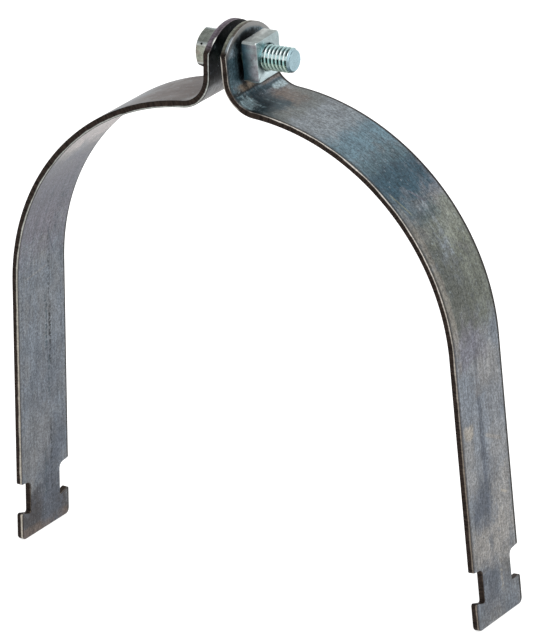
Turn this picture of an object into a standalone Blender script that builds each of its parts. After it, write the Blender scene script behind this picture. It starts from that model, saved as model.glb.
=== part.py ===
"""Strut pipe clamp: two folded steel straps, drawn together over a pipe by a screw and a square nut.

Metres, +Z up. The clamp stands on its hooked feet with the origin on the floor, midway between the
straps. X runs across the clamp and along the screw, and Y runs along the pipe. Each strap is made as
a pierced flat blank, its edges are rounded, and it is then folded round the saddle and up to its ear.
"""

import math

import bmesh
import bpy
from mathutils import Matrix, Vector

# The strip that both straps are cut from
STRAP_WIDTH = 0.03175
STRAP_THICKNESS = 0.00266
STRIP_EDGE_RADIUS = 0.00035

# The saddle that holds the pipe, and the bend that turns the strip up into the ear
SADDLE_RADIUS = 0.0857
BEND_RADIUS = 0.0110

# How far each strap stands out from the middle of the clamp, and how far its leg leans out
HALF_SPREAD = 0.00793
SPLAY_DEG = 3.0

# The ear: straight sides, a crowned top and a round hole
EAR_SIDE_HEIGHT = 0.0091
EAR_CROWN_RADIUS = 0.0195
HOLE_ABOVE_BEND = 0.0055
EAR_HOLE_CLEARANCE = 0.0016

# The leg and the hooked foot that turns into the strut's slot
LEG_LENGTH = 0.0823
NOTCH_LENGTH = 0.0119
NOTCH_DEPTH = 0.0059
SHOULDER_DROP = 0.0006
SHOULDER_CORNER_RADIUS = 0.0006
NOTCH_TOP_FILLET = 0.0022
NOTCH_FOOT_FILLET = 0.0008
HOOK_HEIGHT = 0.0112
HOOK_UNDERCUT = 0.0018
SQUARE_HOOK_UNDERCUT = 0.0002
HOOK_CORNER_RADIUS = 0.0009
FOOT_CORNER_RADIUS = 0.0022

# The screw, with a plain hexagon head over a thin washer face
SCREW_DIAMETER = 0.0095
SCREW_PROJECTION = 0.0111
SCREW_END_CHAMFER = 0.0009
HEAD_ACROSS_FLATS = 0.0141
HEAD_HEIGHT = 0.0079
HEAD_TURN_DEG = 0.0
HEAD_CHAMFER_DEG = 30.0
HEAD_CHAMFER_INSET = 0.0005
WASHER_FACE_HEIGHT = 0.0004
WASHER_FACE_INSET = 0.0004

# The square nut, run up by hand to just short of the bend that keeps it from turning
NUT_ACROSS_FLATS = 0.0156
NUT_THICKNESS = 0.0064
NUT_TURN_DEG = 2.5
NUT_CORNER_RADIUS = 0.0008
NUT_RIM_RADIUS = 0.00025
NUT_BORE_CLEARANCE = 0.0003
NUT_COUNTERSINK = 0.0004
NUT_SEAT_GAP = 0.0008

# The gap left between pieces that touch
SEAT_GAP = 0.0003

# How finely the curves are divided
SADDLE_STEPS = 44
BEND_STEPS = 18
CROWN_STEPS = 16
FILLET_STEPS = 4
HOLE_STEPS = 36
ROUND_STEPS = 48
EDGE_STEPS = 2
CORNER_STEPS = 4
SMOOTH_BELOW_DEG = 32.0

# The fold, worked out from the sizes above. The ear's inner face lies on the saddle's centre line.
FOLD_RADIUS = SADDLE_RADIUS + STRAP_THICKNESS + BEND_RADIUS
SADDLE_ANGLE = math.acos((STRAP_THICKNESS + BEND_RADIUS) / FOLD_RADIUS)
BEND_CENTRE_Z = FOLD_RADIUS * math.sin(SADDLE_ANGLE)
BEND_INNER_RADIUS = BEND_RADIUS + STRAP_THICKNESS

# Distances along the strip's inner face, from the bottom of the foot
FOOT_TO_CENTRE = HOOK_HEIGHT + NOTCH_LENGTH + LEG_LENGTH
SADDLE_START = FOOT_TO_CENTRE
SADDLE_END = SADDLE_START + SADDLE_RADIUS * SADDLE_ANGLE
BEND_END = SADDLE_END + BEND_INNER_RADIUS * SADDLE_ANGLE
EAR_CORNER = BEND_END + EAR_SIDE_HEIGHT
HOLE_CENTRE = BEND_END + HOLE_ABOVE_BEND
HALF_WIDTH = STRAP_WIDTH / 2
CROWN_CENTRE = EAR_CORNER - math.sqrt(EAR_CROWN_RADIUS**2 - HALF_WIDTH**2)
EAR_HOLE_RADIUS = (SCREW_DIAMETER + EAR_HOLE_CLEARANCE) / 2

SPLAY = math.radians(SPLAY_DEG)


def clear_scene():
    for old in list(bpy.data.objects):
        bpy.data.objects.remove(old, do_unlink=True)


def fold(along, out):
    """Where a point of the strip goes: along is its distance up the inner face, out its height off it."""
    if along <= SADDLE_START:
        return SADDLE_RADIUS + out, along - SADDLE_START
    if along <= SADDLE_END:
        turn = (along - SADDLE_START) / SADDLE_RADIUS
        reach = SADDLE_RADIUS + out
        return reach * math.cos(turn), reach * math.sin(turn)
    reach = BEND_INNER_RADIUS - out
    turn = min((along - SADDLE_END) / BEND_INNER_RADIUS, SADDLE_ANGLE)
    heading = SADDLE_ANGLE + math.pi - turn
    x = BEND_INNER_RADIUS + reach * math.cos(heading)
    z = BEND_CENTRE_Z + reach * math.sin(heading)
    return x, z + max(along - BEND_END, 0)


def leaned(x, z):
    """A point of the right strap's own plane, seen from the middle of the saddle."""
    return (
        x * math.cos(SPLAY) - z * math.sin(SPLAY) + HALF_SPREAD,
        x * math.sin(SPLAY) + z * math.cos(SPLAY),
    )


def rounded(points, radii):
    """The open line through the points, with the inner corners rounded to their radii."""
    line = [points[0]]
    for before, corner, after, radius in zip(points, points[1:], points[2:], radii):
        here = Vector(corner)
        back = (Vector(before) - here).normalized()
        on = (Vector(after) - here).normalized()
        half = back.angle(on) / 2
        centre = here + (back + on).normalized() * (radius / math.sin(half))
        start = here + back * (radius / math.tan(half)) - centre
        end = here + on * (radius / math.tan(half)) - centre
        turn = start.angle_signed(end)
        for step in range(FILLET_STEPS + 1):
            spoke = start.copy()
            spoke.rotate(Matrix.Rotation(-turn * step / FILLET_STEPS, 2))
            line.append(tuple(centre + spoke))
    line.append(points[-1])
    return line


def foot_side(undercut):
    """One side of the hooked foot and leg, from the middle of the foot's end up to the saddle."""
    neck = HALF_WIDTH - NOTCH_DEPTH
    hook_top = HOOK_HEIGHT
    shoulder = HOOK_HEIGHT + NOTCH_LENGTH
    corners = [
        (0, 0),
        (0, HALF_WIDTH),
        (hook_top, HALF_WIDTH),
        (hook_top - undercut, neck),
        (shoulder - SHOULDER_DROP, neck),
        (shoulder, HALF_WIDTH),
        (SADDLE_START, HALF_WIDTH),
    ]
    radii = [
        FOOT_CORNER_RADIUS,
        HOOK_CORNER_RADIUS,
        NOTCH_FOOT_FILLET,
        NOTCH_TOP_FILLET,
        SHOULDER_CORNER_RADIUS,
    ]
    return rounded(corners, radii)


def crown_side():
    """One side of the ear, from its corner over the crown to the middle of its top."""
    half_angle = math.asin(HALF_WIDTH / EAR_CROWN_RADIUS)
    line = []
    for step in range(CROWN_STEPS // 2 + 1):
        angle = half_angle * (1 - step / (CROWN_STEPS // 2))
        along = CROWN_CENTRE + EAR_CROWN_RADIUS * math.cos(angle)
        line.append((along, EAR_CROWN_RADIUS * math.sin(angle)))
    line[0] = (EAR_CORNER, HALF_WIDTH)
    line[-1] = (CROWN_CENTRE + EAR_CROWN_RADIUS, 0)
    return line


def hole_side():
    """Half of the ear's hole, from its top to its bottom."""
    line = []
    for step in range(HOLE_STEPS // 2 + 1):
        angle = math.pi * step / (HOLE_STEPS // 2)
        along = HOLE_CENTRE + EAR_HOLE_RADIUS * math.cos(angle)
        line.append((along, EAR_HOLE_RADIUS * math.sin(angle)))
    line[0] = (HOLE_CENTRE + EAR_HOLE_RADIUS, 0)
    line[-1] = (HOLE_CENTRE - EAR_HOLE_RADIUS, 0)
    return line


def fold_lines():
    """Where the blank is divided across, so that it can follow the saddle and the bend."""
    saddle = [
        SADDLE_START + (SADDLE_END - SADDLE_START) * step / SADDLE_STEPS
        for step in range(SADDLE_STEPS)
    ]
    bend = [
        SADDLE_END + (BEND_END - SADDLE_END) * step / BEND_STEPS
        for step in range(BEND_STEPS + 1)
    ]
    return saddle + bend


def flat_blank(bm, undercut, other_undercut):
    """The pierced blank, flat: X is the distance along the strip, Y the place across it."""
    made = {}

    def corner(along, across):
        key = (round(along, 8), round(across, 8))
        if key not in made:
            made[key] = bm.verts.new((along, across, 0))
        return made[key]

    def face(points):
        bm.faces.new([corner(*point) for point in points])

    def mirrored(points):
        return [(along, -across) for along, across in reversed(points)]

    face(foot_side(undercut) + mirrored(foot_side(other_undercut)[1:]))
    lines = fold_lines()
    for low, high in zip(lines[:-2], lines[1:]):
        face([(low, HALF_WIDTH), (high, HALF_WIDTH), (high, -HALF_WIDTH), (low, -HALF_WIDTH)])
    low, high = lines[-2:]
    across = [(high, HALF_WIDTH), (high, 0), (high, -HALF_WIDTH)]
    face([(low, HALF_WIDTH), *across, (low, -HALF_WIDTH)])
    ear = [(BEND_END, 0), (BEND_END, HALF_WIDTH), *crown_side(), *hole_side()]
    face(ear)
    face(mirrored(ear))


def is_rim(edge):
    """True for an edge between the strip's flat and its cut edge."""
    first, second = edge.link_faces
    return abs(abs(first.normal.z) - abs(second.normal.z)) > 0.5


def strap_mesh(undercut, other_undercut):
    bm = bmesh.new()
    flat_blank(bm, undercut, other_undercut)
    raised = bmesh.ops.extrude_face_region(bm, geom=bm.faces[:])["geom"]
    lifted = [item for item in raised if isinstance(item, bmesh.types.BMVert)]
    bmesh.ops.translate(bm, verts=lifted, vec=(0, 0, STRAP_THICKNESS))
    bmesh.ops.recalc_face_normals(bm, faces=bm.faces[:])
    bmesh.ops.bevel(
        bm,
        geom=[edge for edge in bm.edges if is_rim(edge)],
        offset=STRIP_EDGE_RADIUS,
        segments=EDGE_STEPS,
        profile=0.5,
        affect="EDGES",
    )
    for vert in bm.verts:
        x, z = fold(vert.co.x, vert.co.z)
        vert.co = (x, vert.co.y, z)
    bmesh.ops.recalc_face_normals(bm, faces=bm.faces[:])
    mesh = bpy.data.meshes.new("folded_strap")
    bm.to_mesh(mesh)
    bm.free()
    return mesh


def outer_reach(lowest):
    """How far the right strap's outer face comes out, at and above a height over the saddle's middle."""
    profile = [leaned(*fold(along, STRAP_THICKNESS)) for along in [*fold_lines(), EAR_CORNER]]
    reach = []
    for (x0, z0), (x1, z1) in zip(profile, profile[1:]):
        if z0 <= lowest <= z1:
            reach.append(x0 + (x1 - x0) * (lowest - z0) / (z1 - z0))
        if z0 >= lowest:
            reach.append(x0)
    return max(reach)


def turned(name, profile):
    """A solid of revolution about X, from (x, radius) points that start and end on the axis."""
    bm = bmesh.new()
    line = [bm.verts.new((x, 0, radius)) for x, radius in profile]
    edges = [bm.edges.new(pair) for pair in zip(line, line[1:])]
    bmesh.ops.spin(
        bm,
        geom=line + edges,
        cent=(0, 0, 0),
        axis=(1, 0, 0),
        angle=2 * math.pi,
        steps=ROUND_STEPS,
    )
    bmesh.ops.remove_doubles(bm, verts=bm.verts[:], dist=1e-7)
    bmesh.ops.recalc_face_normals(bm, faces=bm.faces[:])
    mesh = bpy.data.meshes.new(name)
    bm.to_mesh(mesh)
    bm.free()
    return mesh


def prism(name, sides, across_flats, start, end, turn, corner_radius=0.0, rim_radius=0.0):
    """A regular prism along X, with a flat across_flats from its opposite one."""
    bm = bmesh.new()
    bmesh.ops.create_cone(
        bm,
        cap_ends=True,
        segments=sides,
        radius1=across_flats / 2 / math.cos(math.pi / sides),
        radius2=across_flats / 2 / math.cos(math.pi / sides),
        depth=end - start,
        matrix=Matrix.Translation(((start + end) / 2, 0, 0))
        @ Matrix.Rotation(turn, 4, "X")
        @ Matrix.Rotation(math.pi / 2, 4, "Y"),
    )
    if corner_radius:
        corners = [edge for edge in bm.edges if abs(edge.verts[0].co.x - edge.verts[1].co.x) > SEAT_GAP]
        bmesh.ops.bevel(
            bm, geom=corners, offset=corner_radius, segments=CORNER_STEPS, profile=0.5, affect="EDGES"
        )
    if rim_radius:
        rims = [edge for edge in bm.edges if abs(edge.verts[0].co.x - edge.verts[1].co.x) < SEAT_GAP]
        bmesh.ops.bevel(
            bm, geom=rims, offset=rim_radius, segments=EDGE_STEPS, profile=0.5, affect="EDGES"
        )
    mesh = bpy.data.meshes.new(name)
    bm.to_mesh(mesh)
    bm.free()
    return mesh


def placed(name, mesh, parent=None, location=(0, 0, 0), rotation=(0, 0, 0)):
    item = bpy.data.objects.new(name, mesh)
    bpy.context.scene.collection.objects.link(item)
    item.parent = parent
    item.location = location
    item.rotation_euler = rotation
    return item


def cutter(name, mesh, parent):
    tool = placed(name, mesh, parent)
    tool.hide_render = True
    tool.display_type = "WIRE"
    return tool


def combine(item, tool, operation):
    step = item.modifiers.new(f"{operation.lower()} {tool.name}", "BOOLEAN")
    step.object = tool
    step.operation = operation
    step.solver = "EXACT"


def head_cone(face, back):
    """The turned body that takes the hexagon's corners off at its outer face."""
    circle = HEAD_ACROSS_FLATS / 2 - HEAD_CHAMFER_INSET
    wide = HEAD_ACROSS_FLATS
    slope = (wide - circle) * math.tan(math.radians(HEAD_CHAMFER_DEG))
    return turned("head_cone", [(face, 0), (face, circle), (face + slope, wide), (back, wide), (back, 0)])


def finish(item, colour, metallic, roughness):
    material = bpy.data.materials.new(f"{item.name}_material")
    material.use_nodes = True
    shader = material.node_tree.nodes["Principled BSDF"]
    shader.inputs["Base Color"].default_value = (*colour, 1)
    shader.inputs["Metallic"].default_value = metallic
    shader.inputs["Roughness"].default_value = roughness
    item.data.materials.append(material)
    item.data.shade_smooth()
    item.data.set_sharp_from_angle(angle=math.radians(SMOOTH_BELOW_DEG))


def strap(name, side, centre_height, undercut, other_undercut):
    """One strap, leaning out by the splay: side is 1 for the right and -1 for the left."""
    turn = 0 if side > 0 else math.pi
    item = placed(
        name,
        strap_mesh(undercut, other_undercut),
        location=(side * HALF_SPREAD, 0, centre_height),
        rotation=(0, -SPLAY, turn),
    )
    finish(item, (0.16, 0.17, 0.19), 0.9, 0.42)
    return item


def square_nut(axis, inner_face):
    outer_face = inner_face + NUT_THICKNESS
    turn = math.radians(45 + NUT_TURN_DEG)
    block = prism(
        "nut_block",
        4,
        NUT_ACROSS_FLATS,
        inner_face,
        outer_face,
        turn,
        NUT_CORNER_RADIUS,
        NUT_RIM_RADIUS,
    )
    nut = placed("square_nut", block, axis)
    bore = SCREW_DIAMETER / 2 + NUT_BORE_CLEARANCE
    mouth = bore + NUT_COUNTERSINK
    outline = [
        (inner_face - NUT_COUNTERSINK, 0),
        (inner_face - NUT_COUNTERSINK, mouth + NUT_COUNTERSINK),
        (inner_face + NUT_COUNTERSINK, bore),
        (outer_face - NUT_COUNTERSINK, bore),
        (outer_face + NUT_COUNTERSINK, mouth + NUT_COUNTERSINK),
        (outer_face + NUT_COUNTERSINK, 0),
    ]
    combine(nut, cutter("nut_bore", turned("nut_bore", outline), axis), "DIFFERENCE")
    finish(nut, (0.42, 0.47, 0.46), 1.0, 0.34)
    return nut


def clamp_screw(axis, washer_face, end):
    """The screw, whose head stands towards -X: washer_face and end are its two ends' places along X."""
    under_head = washer_face - WASHER_FACE_HEIGHT
    head_face = under_head - HEAD_HEIGHT
    radius = SCREW_DIAMETER / 2
    washer_radius = HEAD_ACROSS_FLATS / 2 - WASHER_FACE_INSET
    turn = math.radians(HEAD_TURN_DEG)
    hexagon = prism("hexagon", 6, HEAD_ACROSS_FLATS, head_face, under_head, turn)
    screw = placed("clamp_screw", hexagon, axis)
    combine(screw, cutter("head_cone", head_cone(head_face, washer_face), axis), "INTERSECT")
    inside_head = under_head - HEAD_HEIGHT / 2
    shank = [
        (inside_head, 0),
        (inside_head, radius),
        (under_head - WASHER_FACE_HEIGHT, washer_radius),
        (washer_face, washer_radius),
        (washer_face, radius),
        (end - SCREW_END_CHAMFER, radius),
        (end, radius - SCREW_END_CHAMFER),
        (end, 0),
    ]
    combine(screw, cutter("shank", turned("shank", shank), axis), "UNION")
    finish(screw, (0.50, 0.56, 0.57), 1.0, 0.30)
    return screw


def build():
    clear_scene()
    lowest = leaned(*fold(0, STRIP_EDGE_RADIUS))[1]
    centre_height = -lowest
    strap("right_strap", 1, centre_height, SQUARE_HOOK_UNDERCUT, HOOK_UNDERCUT)
    strap("left_strap", -1, centre_height, HOOK_UNDERCUT, HOOK_UNDERCUT)
    hole_z = leaned(*fold(HOLE_CENTRE, STRAP_THICKNESS / 2))[1]
    axis = placed("screw_axis", None, location=(0, 0, centre_height + hole_z))
    nut_turn = math.radians(NUT_TURN_DEG)
    nut_drop = NUT_ACROSS_FLATS / 2 * (math.cos(nut_turn) + math.sin(nut_turn))
    nut_face = outer_reach(hole_z - nut_drop) + NUT_SEAT_GAP
    square_nut(axis, nut_face)
    washer_radius = HEAD_ACROSS_FLATS / 2 - WASHER_FACE_INSET
    washer_face = -outer_reach(hole_z - washer_radius) - SEAT_GAP
    clamp_screw(axis, washer_face, nut_face + NUT_THICKNESS + SCREW_PROJECTION)


build()
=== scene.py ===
"""The looks of a strut pipe clamp: dark oiled steel straps with sheared edges, a zinc plated screw and nut.

Metres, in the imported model's own frame: X runs along the screw towards the nut, Y along the pipe and
Z up. Each piece is made finer than its solid, at the same size and place, and stands for it.
"""

import math

import bmesh
import bpy
from mathutils import Matrix, Vector


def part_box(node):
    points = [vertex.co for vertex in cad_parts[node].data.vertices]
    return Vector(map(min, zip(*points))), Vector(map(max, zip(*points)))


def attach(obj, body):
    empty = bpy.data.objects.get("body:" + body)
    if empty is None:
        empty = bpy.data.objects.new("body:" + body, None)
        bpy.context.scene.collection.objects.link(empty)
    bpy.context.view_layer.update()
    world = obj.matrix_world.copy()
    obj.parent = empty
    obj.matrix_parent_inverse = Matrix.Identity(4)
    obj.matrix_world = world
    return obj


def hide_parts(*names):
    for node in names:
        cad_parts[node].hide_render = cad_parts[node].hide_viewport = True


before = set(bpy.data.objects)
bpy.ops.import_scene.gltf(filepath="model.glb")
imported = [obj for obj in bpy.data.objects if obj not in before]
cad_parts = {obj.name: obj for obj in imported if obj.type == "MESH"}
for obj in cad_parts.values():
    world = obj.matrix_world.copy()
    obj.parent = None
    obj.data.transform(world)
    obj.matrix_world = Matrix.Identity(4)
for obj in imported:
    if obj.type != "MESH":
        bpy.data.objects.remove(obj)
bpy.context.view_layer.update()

MM = 0.001

# The strip, the saddle, the bend, the ear and the hooked foot, as the solids have them
STRAP_WIDTH = 31.75 * MM
STRAP_THICKNESS = 2.66 * MM
STRIP_EDGE_RADIUS = 0.35 * MM
SADDLE_RADIUS = 85.7 * MM
BEND_RADIUS = 11.0 * MM
HALF_SPREAD = 7.93 * MM
SPLAY = math.radians(3.0)
EAR_SIDE_HEIGHT = 9.1 * MM
EAR_CROWN_RADIUS = 19.5 * MM
HOLE_ABOVE_BEND = 5.5 * MM
EAR_HOLE_RADIUS = 5.55 * MM
LEG_LENGTH = 82.3 * MM
NOTCH_LENGTH = 11.9 * MM
NOTCH_DEPTH = 5.9 * MM
SHOULDER_DROP = 0.6 * MM
SHOULDER_CORNER_RADIUS = 0.6 * MM
NOTCH_TOP_FILLET = 2.2 * MM
NOTCH_FOOT_FILLET = 0.8 * MM
HOOK_HEIGHT = 11.2 * MM
HOOK_UNDERCUT = 1.8 * MM
SQUARE_HOOK_UNDERCUT = 0.2 * MM
HOOK_CORNER_RADIUS = 0.9 * MM
FOOT_CORNER_RADIUS = 2.2 * MM

# The screw and the nut
THREAD_PITCH = 25.4 / 16 * MM
THREAD_DEPTH = 0.86 * MM
THREAD_CREST_SHARE = 0.14
THREAD_ROOT_SHARE = 0.22
THREAD_FLANK_BOW = 0.25
RUN_OUT_SLOPE = 0.8
SCREW_RADIUS = 4.75 * MM
SCREW_END_CHAMFER = 0.9 * MM
HEAD_ACROSS_FLATS = 14.1 * MM
HEAD_HEIGHT = 7.9 * MM
HEAD_TURN = 0.0
HEAD_CHAMFER = math.radians(30.0)
HEAD_CHAMFER_INSET = 0.5 * MM
HEAD_CORNER_SHARE = 0.985
WASHER_FACE_HEIGHT = 0.4 * MM
WASHER_FACE_INSET = 0.4 * MM
NUT_ACROSS_FLATS = 15.6 * MM
NUT_TURN = math.radians(2.5)
NUT_CORNER_RADIUS = 0.8 * MM
NUT_RIM_RADIUS = 0.3 * MM
NUT_CHAMFER_CIRCLE = 9.9 * MM
NUT_CHAMFER = math.radians(28.0)
NUT_BORE_RADIUS = 5.05 * MM
NUT_COUNTERSINK = 0.4 * MM
SOFT_EDGE = 0.16 * MM

# How finely the curves are divided
SADDLE_STEPS = 150
BEND_STEPS = 40
CROWN_STEPS = 40
FILLET_STEPS = 8
HOLE_STEPS = 72
RIM_STEPS = 4
ROUND_STEPS = 144

# Edges that fold by more than this stay sharp
STRAP_SHARP_DEG = 28
ZINC_SHARP_DEG = 38
EVEN_SHADING_WEIGHT = 80

# The fold, as in the solids
HALF_WIDTH = STRAP_WIDTH / 2
FOLD_RADIUS = SADDLE_RADIUS + STRAP_THICKNESS + BEND_RADIUS
SADDLE_ANGLE = math.acos((STRAP_THICKNESS + BEND_RADIUS) / FOLD_RADIUS)
BEND_CENTRE_Z = FOLD_RADIUS * math.sin(SADDLE_ANGLE)
BEND_INNER_RADIUS = BEND_RADIUS + STRAP_THICKNESS
SADDLE_START = HOOK_HEIGHT + NOTCH_LENGTH + LEG_LENGTH
SADDLE_END = SADDLE_START + SADDLE_RADIUS * SADDLE_ANGLE
BEND_END = SADDLE_END + BEND_INNER_RADIUS * SADDLE_ANGLE
EAR_CORNER = BEND_END + EAR_SIDE_HEIGHT
HOLE_CENTRE = BEND_END + HOLE_ABOVE_BEND
CROWN_CENTRE = EAR_CORNER - math.sqrt(EAR_CROWN_RADIUS**2 - HALF_WIDTH**2)

# The camera stands where the photograph was taken from
CAMERA_AZIMUTH = math.radians(32.993)
CAMERA_ELEVATION = math.radians(20.877)
CAMERA_ROLL = math.radians(-3.009)
CAMERA_PLACE = (1.19278, -1.82783, 0.93180)
CAMERA_LENS = 353.871
CAMERA_SENSOR = 36


def fold(along, out):
    """Where a point of the strip goes: along is its distance up the inner face, out its height off it."""
    if along <= SADDLE_START:
        return SADDLE_RADIUS + out, along - SADDLE_START
    if along <= SADDLE_END:
        turn = (along - SADDLE_START) / SADDLE_RADIUS
        reach = SADDLE_RADIUS + out
        return reach * math.cos(turn), reach * math.sin(turn)
    reach = BEND_INNER_RADIUS - out
    turn = min((along - SADDLE_END) / BEND_INNER_RADIUS, SADDLE_ANGLE)
    heading = SADDLE_ANGLE + math.pi - turn
    x = BEND_INNER_RADIUS + reach * math.cos(heading)
    z = BEND_CENTRE_Z + reach * math.sin(heading)
    return x, z + max(along - BEND_END, 0)


def leaned(x, z):
    return (
        x * math.cos(SPLAY) - z * math.sin(SPLAY) + HALF_SPREAD,
        x * math.sin(SPLAY) + z * math.cos(SPLAY),
    )


CENTRE_HEIGHT = -leaned(*fold(0, STRIP_EDGE_RADIUS))[1]
AXIS_HEIGHT = CENTRE_HEIGHT + leaned(*fold(HOLE_CENTRE, STRAP_THICKNESS / 2))[1]


def rounded(points, radii):
    """The open line through the points, with the inner corners rounded to their radii."""
    line = [points[0]]
    for before, corner, after, radius in zip(points, points[1:], points[2:], radii):
        here = Vector(corner)
        back = (Vector(before) - here).normalized()
        on = (Vector(after) - here).normalized()
        half = back.angle(on) / 2
        centre = here + (back + on).normalized() * (radius / math.sin(half))
        start = here + back * (radius / math.tan(half)) - centre
        end = here + on * (radius / math.tan(half)) - centre
        turn = start.angle_signed(end)
        for step in range(FILLET_STEPS + 1):
            spoke = start.copy()
            spoke.rotate(Matrix.Rotation(-turn * step / FILLET_STEPS, 2))
            line.append(tuple(centre + spoke))
    line.append(points[-1])
    return line


def foot_side(undercut):
    neck = HALF_WIDTH - NOTCH_DEPTH
    shoulder = HOOK_HEIGHT + NOTCH_LENGTH
    corners = [
        (0, 0),
        (0, HALF_WIDTH),
        (HOOK_HEIGHT, HALF_WIDTH),
        (HOOK_HEIGHT - undercut, neck),
        (shoulder - SHOULDER_DROP, neck),
        (shoulder, HALF_WIDTH),
        (SADDLE_START, HALF_WIDTH),
    ]
    radii = [
        FOOT_CORNER_RADIUS,
        HOOK_CORNER_RADIUS,
        NOTCH_FOOT_FILLET,
        NOTCH_TOP_FILLET,
        SHOULDER_CORNER_RADIUS,
    ]
    return rounded(corners, radii)


def arc(centre, radius, first, last, steps):
    """Points of the flat strip along an arc, from one angle to another."""
    angles = [first + (last - first) * step / steps for step in range(steps + 1)]
    return [(centre + radius * math.cos(angle), radius * math.sin(angle)) for angle in angles]


def flat_blank(bm, undercut, other_undercut):
    """The pierced blank, flat: X is the distance along the strip, Y the place across it."""
    made = {}

    def corner(along, across):
        key = (round(along, 7), round(across, 7))
        if key not in made:
            made[key] = bm.verts.new((along, across, 0))
        return made[key]

    def face(points):
        bm.faces.new([corner(*point) for point in points])

    def mirrored(points):
        return [(along, -across) for along, across in reversed(points)]

    face(foot_side(undercut) + mirrored(foot_side(other_undercut)[1:]))
    lines = [SADDLE_START + (SADDLE_END - SADDLE_START) * i / SADDLE_STEPS for i in range(SADDLE_STEPS)]
    lines += [SADDLE_END + (BEND_END - SADDLE_END) * i / BEND_STEPS for i in range(BEND_STEPS + 1)]
    for low, high in zip(lines[:-2], lines[1:]):
        face([(low, HALF_WIDTH), (high, HALF_WIDTH), (high, -HALF_WIDTH), (low, -HALF_WIDTH)])
    low, high = lines[-2:]
    face([(low, HALF_WIDTH), (high, HALF_WIDTH), (high, 0), (high, -HALF_WIDTH), (low, -HALF_WIDTH)])
    crown_angle = math.asin(HALF_WIDTH / EAR_CROWN_RADIUS)
    crown = arc(CROWN_CENTRE, EAR_CROWN_RADIUS, crown_angle, 0, CROWN_STEPS)
    hole = arc(HOLE_CENTRE, EAR_HOLE_RADIUS, 0, math.pi, HOLE_STEPS // 2)
    ear = [(BEND_END, 0), (BEND_END, HALF_WIDTH), *crown, *hole]
    face(ear)
    face(mirrored(ear))


def is_rim(edge):
    first, second = edge.link_faces
    return abs(abs(first.normal.z) - abs(second.normal.z)) > 0.5


def shown(name, mesh, node, body, materials, sharp_deg):
    """Puts a finished mesh in the scene in place of its solid."""
    piece = bpy.data.objects.new(name, mesh)
    bpy.context.scene.collection.objects.link(piece)
    for material in materials:
        mesh.materials.append(material)
    mesh.shade_smooth()
    mesh.set_sharp_from_angle(angle=math.radians(sharp_deg))
    even = piece.modifiers.new("even shading", "WEIGHTED_NORMAL")
    even.keep_sharp = True
    even.weight = EVEN_SHADING_WEIGHT
    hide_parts(node)
    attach(piece, body)


def strap(name, node, body, side, undercuts, materials):
    """One folded strap. Its strip attribute holds each point's place in the flat strip, in millimetres."""
    bm = bmesh.new()
    flat_blank(bm, *undercuts)
    raised = bmesh.ops.extrude_face_region(bm, geom=bm.faces[:])["geom"]
    lifted = [item for item in raised if isinstance(item, bmesh.types.BMVert)]
    bmesh.ops.translate(bm, verts=lifted, vec=(0, 0, STRAP_THICKNESS))
    bmesh.ops.recalc_face_normals(bm, faces=bm.faces[:])
    bmesh.ops.bevel(
        bm,
        geom=[edge for edge in bm.edges if is_rim(edge)],
        offset=STRIP_EDGE_RADIUS,
        segments=RIM_STEPS,
        profile=0.5,
        affect="EDGES",
    )
    bm.normal_update()
    for cut in bm.faces:
        cut.material_index = 1 if abs(cut.normal.z) < 0.6 else 0
    strip = bm.verts.layers.float_vector.new("strip")
    for vert in bm.verts:
        vert[strip] = vert.co / MM
        x, z = fold(vert.co.x, vert.co.z)
        vert.co = (x, vert.co.y, z)
    bmesh.ops.recalc_face_normals(bm, faces=bm.faces[:])
    mesh = bpy.data.meshes.new(name)
    bm.to_mesh(mesh)
    bm.free()
    turn = 0 if side > 0 else math.pi
    place = Matrix.Translation((side * HALF_SPREAD, 0, CENTRE_HEIGHT))
    mesh.transform(place @ Matrix.Rotation(turn, 4, "Z") @ Matrix.Rotation(-SPLAY, 4, "Y"))
    shown(name, mesh, node, body, materials, STRAP_SHARP_DEG)


def skin(name, rows):
    """A closed surface from rows of points round the X axis; a row of one point closes an end."""
    points = []
    starts = []
    for row in rows:
        starts.append(len(points))
        points += row
    faces = []
    for at, (row, after) in enumerate(zip(rows, rows[1:])):
        low, high = starts[at], starts[at + 1]
        count = max(len(row), len(after))
        for i in range(count):
            j = (i + 1) % count
            if len(row) == 1:
                faces.append((low, high + j, high + i))
            elif len(after) == 1:
                faces.append((low + i, low + j, high))
            else:
                faces.append((low + i, low + j, high + j, high + i))
    bm = bmesh.new()
    verts = [bm.verts.new(point) for point in points]
    for corners in faces:
        bm.faces.new([verts[i] for i in corners])
    bmesh.ops.remove_doubles(bm, verts=bm.verts[:], dist=1e-6)
    bmesh.ops.dissolve_degenerate(bm, dist=1e-6, edges=bm.edges[:])
    bmesh.ops.recalc_face_normals(bm, faces=bm.faces[:])
    mesh = bpy.data.meshes.new(name)
    bm.to_mesh(mesh)
    bm.free()
    return mesh


def ring(reach, turn=0.0):
    """One row of points: reach(angle) gives a point's place along X and its distance from the axis."""
    row = []
    for step in range(ROUND_STEPS):
        angle = 2 * math.pi * step / ROUND_STEPS
        x, radius = reach(angle)
        row.append((x, radius * math.cos(angle + turn), AXIS_HEIGHT + radius * math.sin(angle + turn)))
    return row


def circle(x, radius):
    return ring(lambda angle: (x, radius))


def thread_reach(share):
    """The screw's radius at a share of the pitch from the middle of a crest."""
    from_crest = abs((share + 0.5) % 1 - 0.5)
    flank = 0.5 - THREAD_CREST_SHARE / 2 - THREAD_ROOT_SHARE / 2
    down = min(max((from_crest - THREAD_CREST_SHARE / 2) / flank, 0), 1)
    bowed = down * down * (3 - 2 * down)
    return SCREW_RADIUS - THREAD_DEPTH * (bowed * THREAD_FLANK_BOW + down * (1 - THREAD_FLANK_BOW))


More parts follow.
